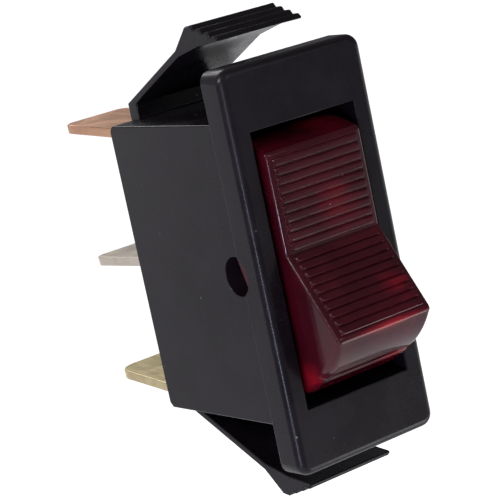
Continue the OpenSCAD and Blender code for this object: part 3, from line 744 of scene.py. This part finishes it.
def buildRocker(shape, look):
    bm = bmesh.new()
    buildRockerCap(bm, shape)
    buildStem(bm, shape)
    for side in (-1, 1):
        buildBoss(bm, shape, side)
    bmesh.ops.recalc_face_normals(bm, faces=bm.faces)
    bmesh.ops.transform(bm, matrix=restPlace(shape), verts=bm.verts)
    piece = addObject("rocker_cap", bm, rockerMaterial(look))
    smoothByAngle(piece, shape["smoothAngle"])
    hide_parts("rocker")
    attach(piece, "rocker_body")
    return piece


rocker = buildRocker(rockerShape, redLook)
print("rocker built:", len(rocker.data.polygons), "faces")


# blades: the CAD sheets with broken edges

bladeShape = {
    "edgeRound": 0.09,
    "rear": 14.7,          # only the edges behind the case are rounded
    "sharpAngle": 35, "smoothAngle": 40,
}


def buildBlade(node, metal, shape):
    bm = cadCopy(node)
    rear = shape["rear"] * mm

    def behindCase(middle):
        return middle.y > rear

    roundEdges(bm, sharpEdges(bm, shape["sharpAngle"], behindCase), shape["edgeRound"] * mm, 2)
    blade = addObject(node.replace("terminal", "blade"), bm, metal)
    smoothByAngle(blade, shape["smoothAngle"])
    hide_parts(node)
    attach(blade, "housing_body")


buildBlade("load_terminal", copperMetal, bladeShape)
buildBlade("line_terminal", tinMetal, bladeShape)
buildBlade("lamp_terminal", brassMetal, bladeShape)
print("blades built")


# spring in the rocker's bore

springShape = {"seatDepth": 3.011, "keep": 0.72, "smoothAngle": 60}


def buildSpring(shape):
    bm = bmesh.new()
    bm.from_mesh(nodes["plunger_spring"].data)
    spring = addObject("coil_spring", bm, steelMetal)
    smoothByAngle(spring, shape["smoothAngle"])
    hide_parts("plunger_spring")
    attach(spring, "rocker_body")
    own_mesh(spring)


buildSpring(springShape)
print("spring built")


# pieces inside, as the CAD has them

innerFinish = {
    "terminal_base": basePlastic, "plunger": plungerPlastic,
    "seesaw_blade": contactMetal, "moving_contact": silverMetal, "fixed_contact": silverMetal,
    "saddle": contactMetal, "saddle_rivet": rivetMetal, "lamp_glass": lampGlass, "lamp_bead": beadGlass,
    "lamp_filament": tungstenMetal, "load_wire": steelMetal, "return_wire": steelMetal,
    "wire_sleeve": sleevePlastic,
}
for node, material in innerFinish.items():
    slots = nodes[node].data.materials
    slots.clear()
    slots.append(material)
print("inner pieces finished")


# camera, floor and light

cameraPlace = {
    "at": (-97.27, -135.438, 33.901), "aim": (-3.6, 2.78, 1.43), "roll": -11.96,
    "lens": 159.54, "widen": 0.98, "shiftUp": -0.006,
}


def buildCamera(place):
    camera = bpy.data.objects.new("camera", bpy.data.cameras.new("camera"))
    bpy.context.scene.collection.objects.link(camera)
    at, aim = Vector(place["at"]) * mm, Vector(place["aim"]) * mm
    turn = (aim - at).to_track_quat("-Z", "Y").to_matrix().to_4x4()
    roll = Matrix.Rotation(math.radians(place["roll"]), 4, "Z")
    camera.matrix_world = Matrix.Translation(at) @ turn @ roll
    camera.data.lens = place["lens"] * place["widen"]
    camera.data.sensor_width = 36.0
    camera.data.shift_y = place["shiftUp"]
    camera.data.clip_start = 0.005
    camera.data.clip_end = 20.0
    bpy.context.scene.camera = camera


studio = {
    "floorDrop": 120.0, "floorColour": (0.86, 0.86, 0.87), "floorGlow": 0.75, "glossNear": 0.08,
    "glossFar": 0.6, "worldColour": (0.96, 0.95, 1.0), "front": 0.12, "left": 0.5, "ambient": 0.45,
    "lamps": {
        "key": {"at": (-330, -40, 210), "size": 90, "power": 0.5, "colour": (1, 1, 1)},
        "fill": {"at": (120, -330, 160), "size": 200, "power": 0.12, "colour": (1, 1, 1)},
        "back": {"at": (60, 300, 260), "size": 200, "power": 0.45, "colour": (1, 1, 1)},
        "edge": {"at": (-240, -165, -75), "size": 70, "power": 0.32, "colour": (0.72, 0.8, 1)},
        "lift": {"at": (85, -80, -100), "size": 60, "power": 0.03, "colour": (1, 0.97, 0.96)},
    },
}


def addArea(name, lamp):
    light = bpy.data.objects.new(name, bpy.data.lights.new(name, "AREA"))
    bpy.context.scene.collection.objects.link(light)
    light.location = Vector(lamp["at"]) * mm
    light.data.size = lamp["size"] * mm
    light.data.energy = lamp["power"]
    light.data.color = lamp["colour"]
    light.rotation_euler = (-light.location).to_track_quat("-Z", "Y").to_euler()


def buildFloor(setting):
    # pale, and white to the camera, in gloss and through glass, with its shadow kept
    material = bpy.data.materials.new("paleFloor")
    material.use_nodes = True
    tree = material.node_tree
    shader = tree.nodes["Principled BSDF"]
    rays = newNode(tree, "ShaderNodeLightPath", -800, 100).outputs
    seen = mathNode(tree, "MAXIMUM", rays["Is Camera Ray"], rays["Is Transmission Ray"], -550, 100)
    place = newNode(tree, "ShaderNodeTexCoord", -1300, -150)
    axes = newNode(tree, "ShaderNodeSeparateXYZ", -1150, -150)
    tree.links.new(place.outputs["Object"], axes.inputs[0])
    away = mathNode(tree, "ADD", axes.outputs["X"], axes.outputs["Y"], -1000, -150)
    level = mapRange(tree, away, 0.2, 0.55, -800, -150, setting["glossNear"], setting["glossFar"])
    inGloss = mathNode(tree, "MULTIPLY", rays["Is Glossy Ray"], level, -550, -100)
    toEye = mathNode(tree, "MULTIPLY", seen, setting["floorGlow"], -350, 100)
    glow = mathNode(tree, "ADD", toEye, inGloss, -150, 0)
    tree.links.new(glow, shader.inputs["Emission Strength"])
    nearer = mapRange(tree, away, 0.05, -0.5, -800, -400, 0.0, 0.9)
    dimmed = mathNode(tree, "MULTIPLY", rays["Is Glossy Ray"], nearer, -550, -400)
    colour = mixColour(tree, dimmed, rgba(setting["floorColour"]), (0.02, 0.02, 0.02, 1.0), -350, -400)
    tree.links.new(colour, shader.inputs["Base Color"])
    setInputs(shader, Roughness=0.8, Emission_Color=(1, 1, 1, 1))
    bm = bmesh.new()
    bmesh.ops.create_grid(bm, x_segments=8, y_segments=8, size=2.5)
    floor = addObject("floor", bm, material)
    floor.location.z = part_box("housing")[0].z - setting["floorDrop"] * mm


def buildWorld(setting):
    # white to the camera and through glass, a dim room brighter on the left for gloss and light
    world = bpy.data.worlds.new("studioWorld")
    bpy.context.scene.world = world
    world.use_nodes = True
    tree = world.node_tree
    tree.nodes.clear()
    out = newNode(tree, "ShaderNodeOutputWorld", 800, 0)
    rays = newNode(tree, "ShaderNodeLightPath", -600, 300).outputs
    place = newNode(tree, "ShaderNodeTexCoord", -800, -100)
    axes = newNode(tree, "ShaderNodeSeparateXYZ", -600, -100)
    tree.links.new(place.outputs["Generated"], axes.inputs[0])
    room = mapRange(tree, axes.outputs["X"], 0.2, -0.9, -400, -100, setting["front"], setting["left"])
    pick = newNode(tree, "ShaderNodeMix", -100, -100, data_type="FLOAT")
    tree.links.new(rays["Is Glossy Ray"], pick.inputs[0])
    pick.inputs[2].default_value = setting["ambient"]
    tree.links.new(room, pick.inputs[3])
    seen = mathNode(tree, "MAXIMUM", rays["Is Camera Ray"], rays["Is Transmission Ray"], -350, 300)
    white = newNode(tree, "ShaderNodeBackground", 200, 200)
    setInputs(white, Color=(1, 1, 1, 1), Strength=1.0)
    soft = newNode(tree, "ShaderNodeBackground", 200, -100)
    setInputs(soft, Color=rgba(setting["worldColour"]))
    tree.links.new(pick.outputs[0], soft.inputs["Strength"])
    mix = newNode(tree, "ShaderNodeMixShader", 500, 0)
    tree.links.new(seen, mix.inputs[0])
    tree.links.new(soft.outputs[0], mix.inputs[1])
    tree.links.new(white.outputs[0], mix.inputs[2])
    tree.links.new(mix.outputs[0], out.inputs[0])


def buildStudio(setting):
    buildFloor(setting)
    buildWorld(setting)
    for name, lamp in setting["lamps"].items():
        addArea(name + "Light", lamp)
    bpy.context.scene.view_settings.view_transform = "Standard"


buildCamera(cameraPlace)
buildStudio(studio)
print("camera, floor and light placed")
